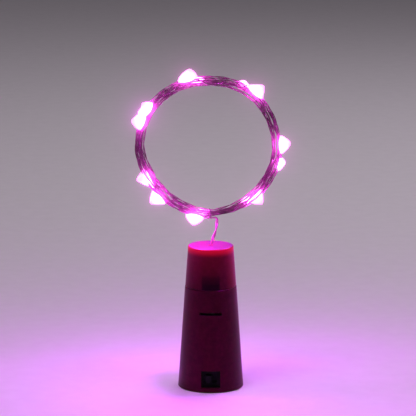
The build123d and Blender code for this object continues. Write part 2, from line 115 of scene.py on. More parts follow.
def join(material, shader, **sources):
    """Links the shader's inputs, named with underscores for spaces, to other nodes' outputs."""
    for name, source in sources.items():
        material.node_tree.links.new(source, shader.inputs[name.replace("_", " ")])


def dress(material, *names):
    """Gives CAD nodes a material."""
    for name in names:
        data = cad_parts[name].data
        data.materials.clear()
        data.materials.append(material)


# Moulded cork plastic: satin, softly mottled, with shallow dark pores like cork's and spark-eroded grain
# from the mould, drawn about twice as coarse so that it shows. The eye sees a deep wine brown. Its red glow
# where light gets behind it and its violet top are painted light, as emission, and the dark patch over the
# tongue and the slot's mouth are painted shade.
cork, shader, place = surface("moulded_cork_plastic", {
    "IOR": 1.49,
    "Specular IOR Level": 0.2,
    # Painted reflection: the magenta specular and sheen tints stand in for magenta light
    "Specular Tint": srgb(cork_gleam),
    "Sheen Weight": 0.1,
    "Sheen Roughness": 0.35,
    "Sheen Tint": srgb(cork_sheen),
    "Subsurface Weight": 0.55,
    "Subsurface Radius": (1.0, 0.16, 0.22),
    "Subsurface Scale": cork_bleed,
})
mottle = add(cork, "TexNoise", {"Scale": 1 / cork_mottle, "Detail": 4.0, "Roughness": 0.6}, {"Vector": place})
pores = add(cork, "TexVoronoi", {"Scale": 1 / cork_pore, "Randomness": 1.0}, {"Vector": place})
spark = add(cork, "TexNoise", {"Scale": 1 / cork_spark, "Detail": 2.0}, {"Vector": place})
tone = add(cork, "ValToRGB", {"stops": [(0.3, cork_dark), (0.5, cork_body), (0.72, cork_light)]},
           {"Fac": mottle.outputs["Fac"]})
pit = add(cork, "ValToRGB", {"stops": [(0.05, "#FFFFFF"), (0.22, "#000000")]},
          {"Fac": pores.outputs["Distance"]})
sparse = add(cork, "TexNoise", {"Scale": 0.4 / cork_mottle, "Detail": 1.0}, {"Vector": place})
patchy = add(cork, "ValToRGB", {"stops": [(0.52, "#000000"), (0.6, "#FFFFFF")]},
             {"Fac": sparse.outputs["Fac"]})
pitted = add(cork, "Math", {"operation": "MULTIPLY"}, {0: pit.outputs["Color"], 1: patchy.outputs["Color"]})
fleck = add(cork, "MixRGB", {"Color2": srgb(cork_fleck)},
            {"Fac": pitted.outputs["Value"], "Color1": tone.outputs["Color"]})
# The tube's black tongues stand just behind the cap's thin wall. Their showing through is painted shade: a
# dark patch mixed into the cap's colour. They belong to the lower part, so the patch is measured from the
# tube and goes when the cap is lifted.
seam_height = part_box("lower_shell")[1].z
tube_place = add(cork, "TexCoord", {"object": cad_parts["battery_tube"]}).outputs["Object"]
tube_axes = add(cork, "SeparateXYZ", {}, {"Vector": tube_place})
sideways = add(cork, "Math", {"operation": "ABSOLUTE"}, {0: tube_axes.outputs["X"]})
in_width = add(cork, "MapRange", {
    "interpolation_type": "SMOOTHSTEP",
    "From Min": tongue_half_width + tongue_soft,
    "From Max": tongue_half_width - tongue_soft,
}, {"Value": sideways.outputs["Value"]})
up_tongue = add(cork, "MapRange", {"From Min": seam_height, "From Max": seam_height + tongue_tall},
                {"Value": tube_axes.outputs["Z"]})
contact = add(cork, "ValToRGB", {"stops": [
    (0.0, "#000000"),
    (0.02, "#FFFFFF"),
    (0.33, "#FAFAFA"),
    (0.45, "#E0E0E0"),
    (0.78, "#CCCCCC"),
    (0.99, "#000000"),
]}, {"Fac": up_tongue.outputs["Result"]})
painted_tongue_shade = add(cork, "Math", {"operation": "MULTIPLY"},
            {0: in_width.outputs["Result"], 1: contact.outputs["Color"]})
# Painted shade: the mouth of the slot for the pull tab is coloured dark, since no light gets into it
own_axes = add(cork, "SeparateXYZ", {}, {"Vector": place})
slot_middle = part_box("cell_3_can")[1].z + slot_rise
from_slot = add(cork, "Math", {"operation": "SUBTRACT", 1: slot_middle}, {0: own_axes.outputs["Z"]})
slot_tall = add(cork, "Math", {"operation": "COMPARE", 1: 0.0, 2: slot_half_height},
                {0: from_slot.outputs["Value"]})
slot_wide = add(cork, "Math", {"operation": "COMPARE", 1: 0.0, 2: slot_half_width},
                {0: own_axes.outputs["X"]})
slot_front = add(cork, "Math", {"operation": "LESS_THAN", 1: 0.0}, {0: own_axes.outputs["Y"]})
painted_slot_shade = add(cork, "Math", {"operation": "MULTIPLY"},
            {0: slot_tall.outputs["Value"], 1: slot_wide.outputs["Value"]})
painted_slot_shade = add(cork, "Math", {"operation": "MULTIPLY"},
            {0: painted_slot_shade.outputs["Value"], 1: slot_front.outputs["Value"]})
# Painted shade: the tongue's patch and the slot's mouth are mixed towards the shadow colour
painted_shade = add(cork, "Math", {"operation": "MAXIMUM"}, {0: painted_tongue_shade.outputs["Value"], 1: painted_slot_shade.outputs["Value"]})
shaded = add(cork, "MixRGB", {"Color2": srgb(cork_shadow)},
             {"Fac": painted_shade.outputs["Value"], "Color1": fleck.outputs["Color"]})
# Painted glow: red emission on the cap's side, for drop light soaking into its end, most below the rim
rim_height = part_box("top_cap")[1].z
facing = add(cork, "SeparateXYZ", {}, {"Vector": add(cork, "NewGeometry").outputs["Normal"]})
on_side = add(cork, "MapRange", {"From Min": 0.9, "From Max": 0.4}, {"Value": facing.outputs["Z"]})
rim_light = add(cork, "MapRange", {
    "interpolation_type": "SMOOTHERSTEP",
    "From Min": rim_height - rim_glow_depth,
    "From Max": rim_height,
    "To Max": rim_glow,
}, {"Value": own_axes.outputs["Z"]})
rim_light = add(cork, "Math", {"operation": "MULTIPLY"},
                {0: rim_light.outputs["Result"], 1: on_side.outputs["Result"]})
# A little painted glow reaches down to the seam, but none over the tongue's painted patch
cap_light = add(cork, "MapRange", {"From Min": seam_height, "From Max": rim_height, "To Max": cap_glow},
                {"Value": own_axes.outputs["Z"]})
clear = add(cork, "Math", {"operation": "SUBTRACT", 0: 1.0}, {1: painted_tongue_shade.outputs["Value"]})
cap_light = add(cork, "Math", {"operation": "MULTIPLY"},
                {0: cap_light.outputs["Result"], 1: clear.outputs["Value"]})
# Painted glow on the right flank, which stands under the brighter side of the ring
on_cap = add(cork, "Math", {"operation": "GREATER_THAN", 1: seam_height}, {0: own_axes.outputs["Z"]})
flank_light = add(cork, "MapRange", {"From Min": 0.6, "From Max": 1.0, "To Max": flank_glow},
                  {"Value": facing.outputs["X"]})
flank_light = add(cork, "Math", {"operation": "MULTIPLY"},
                  {0: flank_light.outputs["Result"], 1: on_cap.outputs["Value"]})
# Painted light: a violet glow on the top face, for the drops' light falling on it
near_top = add(cork, "MapRange", {"From Min": rim_height - cork_edge, "From Max": rim_height},
               {"Value": own_axes.outputs["Z"]})
upward = add(cork, "MapRange", {"From Min": 0.8, "From Max": 0.95}, {"Value": facing.outputs["Z"]})
on_top = add(cork, "Math", {"operation": "MULTIPLY"},
             {0: near_top.outputs["Result"], 1: upward.outputs["Result"]})
painted_glow = add(cork, "Math", {"operation": "MULTIPLY", 1: top_glow}, {0: on_top.outputs["Value"]})
for light in (rim_light, cap_light, flank_light):
    painted_glow = add(cork, "Math", {}, {0: painted_glow.outputs["Value"], 1: light.outputs["Value"]})
glow_tone = add(cork, "MixRGB", {"Color1": srgb(cork_glow), "Color2": srgb(top_glow_tint)},
                {"Fac": on_top.outputs["Value"]})
gloss = add(cork, "MapRange", {"To Min": 0.34, "To Max": 0.5}, {"Value": mottle.outputs["Fac"]})
height = add(cork, "Math", {"operation": "SUBTRACT"}, {0: spark.outputs["Fac"], 1: pitted.outputs["Value"]})
edge = add(cork, "Bevel", {"samples": 6, "Radius": cork_edge})
relief = add(cork, "Bump", {"Strength": 0.35, "Distance": cork_depth},
             {"Height": height.outputs["Value"], "Normal": edge.outputs["Normal"]})
join(cork, shader, Base_Color=shaded.outputs["Color"], Roughness=gloss.outputs["Result"],
     Normal=relief.outputs["Normal"], Emission_Color=glow_tone.outputs["Color"],
     Emission_Strength=painted_glow.outputs["Value"])
dress(cork, "base_plate", "lower_shell", "top_cap")

# Battery tube, contact holder: the dark liner that holds the cells and the cup that carries the contacts.
# Both are moulded in black ABS, glued in the sleeve and in the cap.
abs_black = "#0B0B0D"
abs_worn = "#17171A"
abs_grain = 0.25 * mm
abs_bloom = 3 * mm

# Moulded black ABS: satin and nearly even, with a slightly greyer bloom here and there and the mould's
# grain, drawn coarser so that it shows.
black_abs, shader, place = surface("moulded_black_abs", {"IOR": 1.53})
bloom = add(black_abs, "TexNoise", {"Scale": 1 / abs_bloom, "Detail": 3.0}, {"Vector": place})
grain = add(black_abs, "TexNoise", {"Scale": 1 / abs_grain, "Detail": 2.0}, {"Vector": place})
tone = add(black_abs, "ValToRGB", {"stops": [(0.35, abs_black), (0.75, abs_worn)]},
           {"Fac": bloom.outputs["Fac"]})
gloss = add(black_abs, "MapRange", {"To Min": 0.3, "To Max": 0.5}, {"Value": bloom.outputs["Fac"]})
edge = add(black_abs, "Bevel", {"samples": 4, "Radius": 0.1 * mm})
relief = add(black_abs, "Bump", {"Strength": 0.25, "Distance": 0.02 * mm},
             {"Height": grain.outputs["Fac"], "Normal": edge.outputs["Normal"]})
join(black_abs, shader, Base_Color=tone.outputs["Color"], Roughness=gloss.outputs["Result"],
     Normal=relief.outputs["Normal"])
dress(black_abs, "battery_tube", "contact_holder")

# Button cells: three in a stack in the tube, each a drawn can, a small cap and a nylon ring between them.
# The steel is nickel plated before it is drawn, so it keeps fine rings from the press.
cell_bright = "#C9C8C4"
cell_dull = "#A6A5A1"
ring_pitch = 0.35 * mm
can_scuff = 0.8 * mm
seal_wax = 0.4 * mm

# Drawn nickel-plated steel: bright and warm grey, with small handling scuffs and the press's faint rings
# about the axis, drawn wider apart so that they show.
cell_steel, shader, place = surface("drawn_nickel_plated_steel", {"Metallic": 1.0})
rings = add(cell_steel, "TexWave", {
    "wave_type": "RINGS",
    "rings_direction": "Z",
    "Scale": 0.1 / ring_pitch,
    "Distortion": 1.5,
    "Detail": 2.0,
}, {"Vector": place})
scuffs = add(cell_steel, "TexNoise", {"Scale": 1 / can_scuff, "Detail": 5.0}, {"Vector": place})
tone = add(cell_steel, "ValToRGB", {"stops": [(0.4, cell_bright), (0.75, cell_dull)]},
           {"Fac": scuffs.outputs["Fac"]})
gloss = add(cell_steel, "MapRange", {"To Min": 0.16, "To Max": 0.36}, {"Value": scuffs.outputs["Fac"]})
relief = add(cell_steel, "Bump", {"Strength": 0.2, "Distance": 0.01 * mm}, {"Height": rings.outputs["Fac"]})
join(cell_steel, shader, Base_Color=tone.outputs["Color"], Roughness=gloss.outputs["Result"],
     Normal=relief.outputs["Normal"])

# Moulded nylon: a dark blue-grey, slightly waxy ring.
seal_nylon, shader, place = surface("moulded_seal_nylon", {
    "IOR": 1.53,
    "Roughness": 0.45,
    "Subsurface Weight": 0.1,
    "Subsurface Scale": 0.3 * mm,
})
wax = add(seal_nylon, "TexNoise", {"Scale": 1 / seal_wax, "Detail": 2.0}, {"Vector": place})
tone = add(seal_nylon, "ValToRGB", {"stops": [(0.3, "#1B2230"), (0.7, "#2A3344")]},
           {"Fac": wax.outputs["Fac"]})
join(seal_nylon, shader, Base_Color=tone.outputs["Color"])
for number in (1, 2, 3):
    dress(cell_steel, f"cell_{number}_can", f"cell_{number}_cap")
    dress(seal_nylon, f"cell_{number}_seal")

# Contacts under and beside the cells: a round plate, a conical spring and a strip up the side of the tube.
# The plate and strip are stamped from plated steel, and the spring is wound from plated music wire.
strip_grain = 0.12 * mm
die_mark = 0.15 * mm

# Stamped nickel-plated steel: pale, with rolling lines along Z, drawn coarser so that they show.
plated, shader, place = surface("stamped_nickel_plated_steel", {"Metallic": 1.0})
stretched = add(plated, "Mapping", {"Scale": (1.0, 1.0, 0.05)}, {"Vector": place})
rolled = add(plated, "TexNoise", {"Scale": 1 / strip_grain, "Detail": 3.0},
             {"Vector": stretched.outputs["Vector"]})
tone = add(plated, "ValToRGB", {"stops": [(0.3, "#9C9A94"), (0.7, "#C4C2BC")]},
           {"Fac": rolled.outputs["Fac"]})
gloss = add(plated, "MapRange", {"To Min": 0.22, "To Max": 0.42}, {"Value": rolled.outputs["Fac"]})
relief = add(plated, "Bump", {"Strength": 0.2, "Distance": 0.01 * mm}, {"Height": rolled.outputs["Fac"]})
join(plated, shader, Base_Color=tone.outputs["Color"], Roughness=gloss.outputs["Result"],
     Normal=relief.outputs["Normal"])
dress(plated, "negative_plate", "side_strip")

# Drawn plated spring wire: brighter and smoother than the strip, with faint die marks, drawn coarser so
# that they show.
music_wire, shader, place = surface("drawn_spring_wire", {"Metallic": 1.0})
die = add(music_wire, "TexNoise", {"Scale": 1 / die_mark, "Detail": 3.0}, {"Vector": place})
tone = add(music_wire, "ValToRGB", {"stops": [(0.3, "#A9A8A3"), (0.7, "#CFCDC8")]},
           {"Fac": die.outputs["Fac"]})
gloss = add(music_wire, "MapRange", {"To Min": 0.15, "To Max": 0.3}, {"Value": die.outputs["Fac"]})
join(music_wire, shader, Base_Color=tone.outputs["Color"], Roughness=gloss.outputs["Result"])
dress(music_wire, "negative_spring")

# Slide switch: the black case and its knob in the window, with a terminal board behind and a wiper on the
# knob. Case and knob are moulded in glass-filled nylon, and the metal is phosphor bronze.
nylon_black = "#040405"
nylon_grey = "#0B0B0D"
glass_fibre = 0.18 * mm
bronze_tarnish = 1.2 * mm

# Moulded glass-filled nylon: blacker and drier than ABS, with short fibres that show as a fine fleck, drawn
# coarser than they are.
black_nylon, shader, place = surface("moulded_black_nylon", {"IOR": 1.53, "Specular IOR Level": 0.12})
fibres = add(black_nylon, "TexNoise", {"Scale": 1 / glass_fibre, "Detail": 4.0, "Roughness": 0.7},
             {"Vector": place})
tone = add(black_nylon, "ValToRGB", {"stops": [(0.45, nylon_black), (0.8, nylon_grey)]},
           {"Fac": fibres.outputs["Fac"]})
gloss = add(black_nylon, "MapRange", {"To Min": 0.38, "To Max": 0.62}, {"Value": fibres.outputs["Fac"]})
edge = add(black_nylon, "Bevel", {"samples": 4, "Radius": 0.1 * mm})
relief = add(black_nylon, "Bump", {"Strength": 0.3, "Distance": 0.015 * mm},
             {"Height": fibres.outputs["Fac"], "Normal": edge.outputs["Normal"]})
join(black_nylon, shader, Base_Color=tone.outputs["Color"], Roughness=gloss.outputs["Result"],
     Normal=relief.outputs["Normal"])
dress(black_nylon, "switch_case", "switch_knob")

# Rolled phosphor bronze: a pinkish brown metal, dull where it has been handled and bright where it rubs.
bronze, shader, place = surface("rolled_phosphor_bronze", {"Metallic": 1.0})
tarnish = add(bronze, "TexNoise", {"Scale": 1 / bronze_tarnish, "Detail": 5.0}, {"Vector": place})
tone = add(bronze, "ValToRGB", {"stops": [(0.3, "#8A5A3C"), (0.7, "#C48B62")]},
           {"Fac": tarnish.outputs["Fac"]})
gloss = add(bronze, "MapRange", {"To Min": 0.4, "To Max": 0.2}, {"Value": tarnish.outputs["Fac"]})
join(bronze, shader, Base_Color=tone.outputs["Color"], Roughness=gloss.outputs["Result"])
dress(bronze, "switch_wiper", "switch_terminals", "ring_contact")

# Jumper and inner leads: short wires behind the switch and above the circuit board, cut from hook-up wire.
# Their sleeves are extruded PVC.
sleeve_red = "#8C1414"
sleeve_change = 1.5 * mm

# Extruded PVC: glossy and even, with a slow change of tone along its length.
pvc, shader, place = surface("extruded_red_pvc", {"IOR": 1.53, "Roughness": 0.28, "Coat Weight": 0.2})
length_tone = add(pvc, "TexNoise", {"Scale": 1 / sleeve_change, "Detail": 2.0}, {"Vector": place})
tone = add(pvc, "ValToRGB", {"stops": [(0.3, "#6E0E0E"), (0.7, sleeve_red)]},
           {"Fac": length_tone.outputs["Fac"]})
join(pvc, shader, Base_Color=tone.outputs["Color"])
dress(pvc, "jumper_wire", "inner_leads")

# Circuit board and switch board: round and square blanks of glass laminate with green solder mask.
# The chip resistor and the solder joints sit on the round one.
weave = 0.4 * mm
mask_cloud = 0.9 * mm
solder_frost = 0.2 * mm
ceramic_speck = 0.25 * mm

# Solder mask over woven glass: a glossy dark green with the weave just showing.
laminate, shader, place = surface("masked_glass_laminate", {
    "IOR": 1.55,
    "Roughness": 0.3,
    "Coat Weight": 0.3,
})
cloth = add(laminate, "TexChecker", {"Scale": 1 / weave}, {"Vector": place})
cloudy = add(laminate, "TexNoise", {"Scale": 1 / mask_cloud, "Detail": 3.0}, {"Vector": place})
tone = add(laminate, "ValToRGB", {"stops": [(0.3, "#123A1E"), (0.7, "#1D5A2E")]},
           {"Fac": cloudy.outputs["Fac"]})
relief = add(laminate, "Bump", {"Strength": 0.15, "Distance": 0.01 * mm}, {"Height": cloth.outputs["Fac"]})
join(laminate, shader, Base_Color=tone.outputs["Color"], Normal=relief.outputs["Normal"])
dress(laminate, "circuit_board", "switch_board")

# Reflowed solder: a soft bright grey metal, frosted as it sets, a little coarser than the real so it shows.
solder, shader, place = surface("reflowed_solder", {"Metallic": 1.0})
frost = add(solder, "TexNoise", {"Scale": 1 / solder_frost, "Detail": 4.0}, {"Vector": place})
tone = add(solder, "ValToRGB", {"stops": [(0.3, "#A8A9AC"), (0.7, "#D2D3D5")]}, {"Fac": frost.outputs["Fac"]})
gloss = add(solder, "MapRange", {"To Min": 0.18, "To Max": 0.45}, {"Value": frost.outputs["Fac"]})
edge = add(solder, "Bevel", {"samples": 6, "Radius": 0.25 * mm})
join(solder, shader, Base_Color=tone.outputs["Color"], Roughness=gloss.outputs["Result"],
     Normal=edge.outputs["Normal"])
dress(solder, "solder_joints")

# Glazed ceramic: the resistor's black body between two tinned ends, told apart by their place along it.
end_length = 0.5 * mm
end_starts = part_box("resistor")[1].x - end_length
resistor, shader, place = surface("glazed_ceramic_and_tin", {"Coat Weight": 0.4})
along = add(resistor, "SeparateXYZ", {}, {"Vector": place})
beside = add(resistor, "Math", {"operation": "ABSOLUTE"}, {0: along.outputs["X"]})
tinned = add(resistor, "Math", {"operation": "GREATER_THAN", 1: end_starts}, {0: beside.outputs["Value"]})
speck = add(resistor, "TexNoise", {"Scale": 1 / ceramic_speck, "Detail": 3.0}, {"Vector": place})
body_tone = add(resistor, "ValToRGB", {"stops": [(0.4, "#0A0A0C"), (0.7, "#1A1A1D")]},
                {"Fac": speck.outputs["Fac"]})
tone = add(resistor, "MixRGB", {"Color2": srgb("#C8C8CA")},
           {"Fac": tinned.outputs["Value"], "Color1": body_tone.outputs["Color"]})
gloss = add(resistor, "MapRange", {"To Min": 0.2, "To Max": 0.4}, {"Value": speck.outputs["Fac"]})
join(resistor, shader, Base_Color=tone.outputs["Color"], Roughness=gloss.outputs["Result"],
     Metallic=tinned.outputs["Value"])
dress(resistor, "resistor")

# Centre contact: a brass rivet through the holder, turned on an automatic lathe.
# Its head shows a little tarnish and concentric tool marks, drawn wider apart so that they show.
tool_mark = 0.2 * mm
brass_tarnish = 0.9 * mm
brass, shader, place = surface("turned_brass", {"Metallic": 1.0})
marks = add(brass, "TexWave", {
    "wave_type": "RINGS",
    "rings_direction": "Z",
    "Scale": 0.1 / tool_mark,
    "Detail": 1.0,
}, {"Vector": place})
tarnish = add(brass, "TexNoise", {"Scale": 1 / brass_tarnish, "Detail": 4.0}, {"Vector": place})
tone = add(brass, "ValToRGB", {"stops": [(0.3, "#A8823C"), (0.7, "#DDBB66")]},
           {"Fac": tarnish.outputs["Fac"]})
gloss = add(brass, "MapRange", {"To Min": 0.36, "To Max": 0.18}, {"Value": tarnish.outputs["Fac"]})
relief = add(brass, "Bump", {"Strength": 0.2, "Distance": 0.01 * mm}, {"Height": marks.outputs["Fac"]})
join(brass, shader, Base_Color=tone.outputs["Color"], Roughness=gloss.outputs["Result"],
     Normal=relief.outputs["Normal"])
dress(brass, "centre_contact")

# Glue plug: hot-melt glue that fills the wire hole from inside the cap and grips the lead.
# It sets cloudy, and takes up the colour of the light around it.
glue_cloud = 0.6 * mm
glue, shader, place = surface("set_hot_melt_glue", {
    "IOR": 1.48,
    "Roughness": 0.3,
    "Subsurface Weight": 0.8,
    "Subsurface Radius": (1.0, 0.8, 0.8),
    "Subsurface Scale": 1.0 * mm,
})
cloud = add(glue, "TexNoise", {"Scale": 1 / glue_cloud, "Detail": 3.0}, {"Vector": place})
tone = add(glue, "ValToRGB", {"stops": [(0.3, "#B9A99C"), (0.7, "#D9CFC4")]}, {"Fac": cloud.outputs["Fac"]})
relief = add(glue, "Bump", {"Strength": 0.3, "Distance": 0.05 * mm}, {"Height": cloud.outputs["Fac"]})
join(glue, shader, Base_Color=tone.outputs["Color"], Normal=relief.outputs["Normal"])
dress(glue, "glue_plug")

# Light string: one pair of enamelled copper wires, about a metre and a half long, with a drop every 10 cm.
# It leaves the glue as a stiff lead, ties one lap round the bundle and is then wound by hand into a ring,
# so its turns wander, cross and open out at the lower left.
top_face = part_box("top_cap")[1].z
lead_points = (
    (0.0, 0.0, -0.0006),
    (0.00035, -0.0002, 0.0016),
    (0.00165, -0.0008, 0.0046),
    (0.002, -0.00135, 0.0074),
    (0.0023, -0.00165, 0.01008),
)
start_angle = 278.0
tail_angle = 4.0
winding_radius = 24.76 * mm
# Each drop in its order along the wire: its angle round the ring and its lean towards the front, both in
# degrees, then how far it stands out, slides round and sits back from its solid, in mm
drop_rows = (
    (161.0, 10, -0.4, -1.1, 0.7),
    (259.6, 15, 0.1, 0, 0),
    (1.5, 10, 1.3, 0, 0.3),
    (106.7, 5, 0.3, -0.1, 0),
    (226.6, 20, 0.5, 0, 0.6),
    (313.3, 15, 0.7, 0, 1.3),
    (47.7, 0, 1.4, 0.7, 0.3),
    (147.6, 25, 0.0, 0, 0.4),
    (265.5, -75, -0.6, 0, 0),
    (346.7, -40, 1.8, -0.8, 0),
    (99.0, -70, -0.8, 0, 0),
    (210.0, 30, -1.0, -0.2, 1.3),
    (306.0, -70, -0.4, 0, 0),
    (59.0, -50, 0.5, 0, 0),
    (153.5, -65, 0.2, 0, 0),
)
wire_under_middle = 1.0 * mm
chip_light_rise = 1.2 * mm
# The bundle's edges at angles round the ring, in mm
bundle_angles = (0, 45, 90, 135, 180, 222, 250, 272, 300, 335)
bundle_inner = (21.9, 21.6, 20.6, 21.2, 21.5, 20.2, 21.1, 22.3, 21.9, 21.7)
bundle_outer = (25.7, 25.5, 24.1, 24.8, 25.3, 25.1, 25.1, 24.6, 25.4, 25.8)
bundle_depth = 1.1 * mm
laps_per_layer = 3.32
loose_angle = 222.0
loose_half = 60
loose_deeper = 0.25
tie_angle = 271.6
slack_level = 0.8
# Where the turns lie looser or tighter: angle and half width in degrees, and by how much
slack_swells = ((loose_angle, loose_half, 0.9), (10, 60, 0.3), (75, 30, -0.3), (tie_angle, 40, -0.5))
# The turns' swings outwards and in depth: a new one in so many turns, and its size
wander_out = (0.16, 0.4 * mm)
wander_deep = (0.19, 0.38 * mm)
cut_half = 42
cut_turns = 0.4
# Laps that cut the corner at the loose side, and by how many mm
lap_cuts = ((2, 0.8), (3, 0.6), (9, 1.1), (8, 1.2), (5, 0.5), (1, 0.35))
# The twisted pair, which is thicker in the lead, and the gap that turns keep from each other
pair_gap = 0.58 * mm
strand_radius = 0.15 * mm
strand_offset = 0.17 * mm
strand_sides = 6
lead_strand_radius = 0.25 * mm
lead_strand_offset = 0.27 * mm
twist_pitch = 11 * mm
twist_sway = 0.8
twist_sway_length = 23 * mm
lead_length = 9.5 * mm
lead_taper = 5 * mm
# The tie: its lap's middle and radius, and in degrees how far along the ring it gathers the turns and runs
tie_middle = 23.5 * mm
tie_radius = 1.56 * mm
tie_half = 9
tie_ease = 3 * mm
tie_sweep = 1.6
tie_steps = 14
tie_end_steps = 4
# The room that other turns leave round a drop, and how far the pair parts for its chip
drop_clearing = 4.5 * mm
drop_room = 0.75 * mm
drop_heart = 0.5 * mm
drop_own_turns = 0.08
drop_parting = 0.14 * mm
drop_parting_reach = 1.1 * mm
# Each turn rises to its drop from a little way off and is held there. Then all the points settle: 72 to a
# turn, pulled towards their places, eased straight and pushed off each other, the drops and the tie
rise_turns = 0.055
held_turns = 0.008
held_start = 3
stations = 72
settle_steps = 320
ease_steps = 290
settle_pull = 0.05
settle_ease = 0.12
turn_push = 0.45
firm_push = 0.6


def way_out(angle):
    """Direction straight out of the ring at an angle seen from the front."""
    return Vector((math.cos(math.radians(angle)), 0, math.sin(math.radians(angle))))


def way_round(angle):
    """Direction round the ring at an angle, anticlockwise seen from the front."""
    return way_out(angle + 90)


lead_end = Vector(lead_points[-1]) + Vector((0, 0, top_face))
ring_middle = Vector((lead_end.x, 0, lead_end.z)) - way_out(start_angle) * winding_radius

# Where each drop sits: the wire's place in it, and the way that the drop points
drop_places, drop_ways, drop_at = [], [], []
for number, (angle, lean, out, slide, back) in enumerate(drop_rows):
    low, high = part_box(f"led_drop_{number + 1:02d}")
    tilt = math.radians(lean)
    way = way_out(angle) * math.cos(tilt) + Vector((0, -1, 0)) * math.sin(tilt)
    where = (low + high) / 2 - way * wire_under_middle
    where += way_out(angle) * out * mm
    where += way_round(angle) * slide * mm
    where.y += back * mm
    drop_places.append(where)
    drop_ways.append(way)
    drop_at.append(math.degrees(math.atan2(where.z - ring_middle.z, where.x - ring_middle.x)))

# The winding as angle, radius and depth at steps along it
drop_turns = np.cumsum([((a - b) % 360) / 360 for a, b in zip([start_angle] + drop_at, drop_at)])
total_turns = drop_turns[-1] + tail_angle / 360
count = int(total_turns * stations) + 1
turn = np.arange(count) / stations
angle_at = start_angle - 360 * turn
laps = math.ceil(count / stations)
rng = np.random.default_rng(5)


def swell(middle, half):
    """A smooth swell of 1 at an angle round the ring, falling to 0 a half width away."""
    away = np.abs((angle_at - middle + 180) % 360 - 180)
    return np.where(away < half, 0.5 + 0.5 * np.cos(np.pi * away / half), 0.0)


def wander(step, size):
    """Smooth random swings along the winding."""
    knots = rng.normal(0, size, int(total_turns / step) + 3)
    n = (turn / step).astype(int)
    share = turn / step - n
    share = share * share * (3 - 2 * share)
    return knots[n] * (1 - share) + knots[n + 1] * share


# Three layers of laps that spiral in and out, drawn tight and then let loose
layer = turn / laps_per_layer
inward = 1 - np.abs(layer % 2 - 1)
inner_at = np.interp(angle_at, bundle_angles, bundle_inner, period=360) * mm + pair_gap / 2
outer_at = np.interp(angle_at, bundle_angles, bundle_outer, period=360) * mm - pair_gap / 2
radius_at = outer_at + (inner_at - outer_at) * inward
deeper = 1 + loose_deeper * swell(loose_angle, loose_half)
depth_at = bundle_depth * (np.clip(np.floor(layer), 0, 2) - 1) * deeper
slack = slack_level
for middle, half, gain in slack_swells:
    slack = slack + gain * swell(middle, half)
radius_at += slack * wander(*wander_out)
depth_at += slack * wander(*wander_deep)
for lap, cut in lap_cuts:
    lap_turn = lap + (start_angle - loose_angle) / 360
    radius_at -= cut * mm * swell(loose_angle, cut_half) * (np.abs(turn - lap_turn) < cut_turns)

# The turn that carries a drop stands out to it, and is held there
held = np.zeros(count)
held[:held_start] = 1
for at, where in zip(drop_turns, drop_places):
    rise = np.clip(1 - np.abs(turn - at) / rise_turns, 0, 1)
    rise = rise * rise * (3 - 2 * rise)
    out = math.hypot(where.x - ring_middle.x, where.z - ring_middle.z)
    radius_at += (out - radius_at) * rise
    depth_at += (where.y - depth_at) * rise
    held = np.maximum(held, np.abs(turn - at) < held_turns)
radius_at[:held_start], depth_at[:held_start] = winding_radius, lead_end.y
wanted = np.stack([radius_at, depth_at])
station_angle = start_angle - 360 * np.arange(stations) / stations
index = np.arange(laps * stations).reshape(laps, stations)
missing = index >= count
tie_near = np.clip(1 - np.abs(station_angle - tie_angle) / tie_half, 0, 1)


def pushed(cross):
    """How far each point of the winding moves to clear its neighbours, the drops and the tie."""
    grid = np.full((2, laps * stations), 1.0)
    grid[:, :count] = cross
    grid = grid.reshape(2, laps, stations)
    between = grid[:, :, None] - grid[:, None]
    far = np.maximum(np.hypot(*between), 1e-9)
    short = np.clip(pair_gap - far, 0, None)
    short[np.arange(laps), np.arange(laps)] = 0
    short *= ~(missing[:, None] | missing[None])
    move = (between / far * short).sum(2) * turn_push
    for at, angle, where, way in zip(drop_turns, drop_at, drop_places, drop_ways):
        away = np.abs((station_angle - angle + 180) % 360 - 180) * math.pi / 180 * winding_radius
        reach = drop_room * (1 + np.cos(np.pi * np.minimum(away / drop_clearing, 1))) + pair_gap / 2
        middle = where + way * drop_heart
        out = math.hypot(middle.x - ring_middle.x, middle.z - ring_middle.z)
        off = grid - np.array([out, middle.y])[:, None, None]
        far = np.maximum(np.hypot(*off), 1e-9)
        others = (away < drop_clearing) * (np.abs(index / stations - at) > drop_own_turns)
        move += off / far * (np.clip(reach - far, 0, None) * others) * firm_push
    off = grid - np.array([tie_middle, 0])[:, None, None]
    far = np.maximum(np.hypot(*off), 1e-9)
    room = tie_radius - pair_gap + (1 - tie_near) * tie_ease
    over = np.clip(far - room, 0, None) * (tie_near > 0) * (index > held_start)
    move -= off / far * over * firm_push
    return move.reshape(2, -1)[:, :count]


cross = wanted.copy()
free = 1 - held
for step in range(settle_steps):
    cross += free * settle_pull * (wanted - cross)
    cross += free * pushed(cross)
    if step < ease_steps:
        cross[:, 1:-1] += free[1:-1] * settle_ease * ((cross[:, :-2] + cross[:, 2:]) / 2 - cross[:, 1:-1])

route = [Vector(p) + Vector((0, 0, top_face)) for p in lead_points[:-1]]
for n in range(count):
    point = ring_middle + way_out(angle_at[n]) * cross[0, n] + Vector((0, cross[1, n], 0))
    route.append(point)
    if n == 1:
        # The tie: one lap round the bundle, up its front, over the top and down behind
        phase = math.atan2(-lead_end.y, winding_radius - tie_middle)
        start_gap = math.hypot(winding_radius - tie_middle, lead_end.y) - tie_radius
        for part in range(tie_steps + 1):
            around = phase + 2 * math.pi * part / tie_steps
            angle = tie_angle + tie_sweep / 2 - tie_sweep * part / tie_steps
            to_end = min(part, tie_steps - part)
            reach = tie_radius + start_gap * max(1 - to_end / tie_end_steps, 0)
            out = tie_middle + reach * math.cos(around)
            route.append(ring_middle + way_out(angle) * out - Vector((0, reach * math.sin(around), 0)))

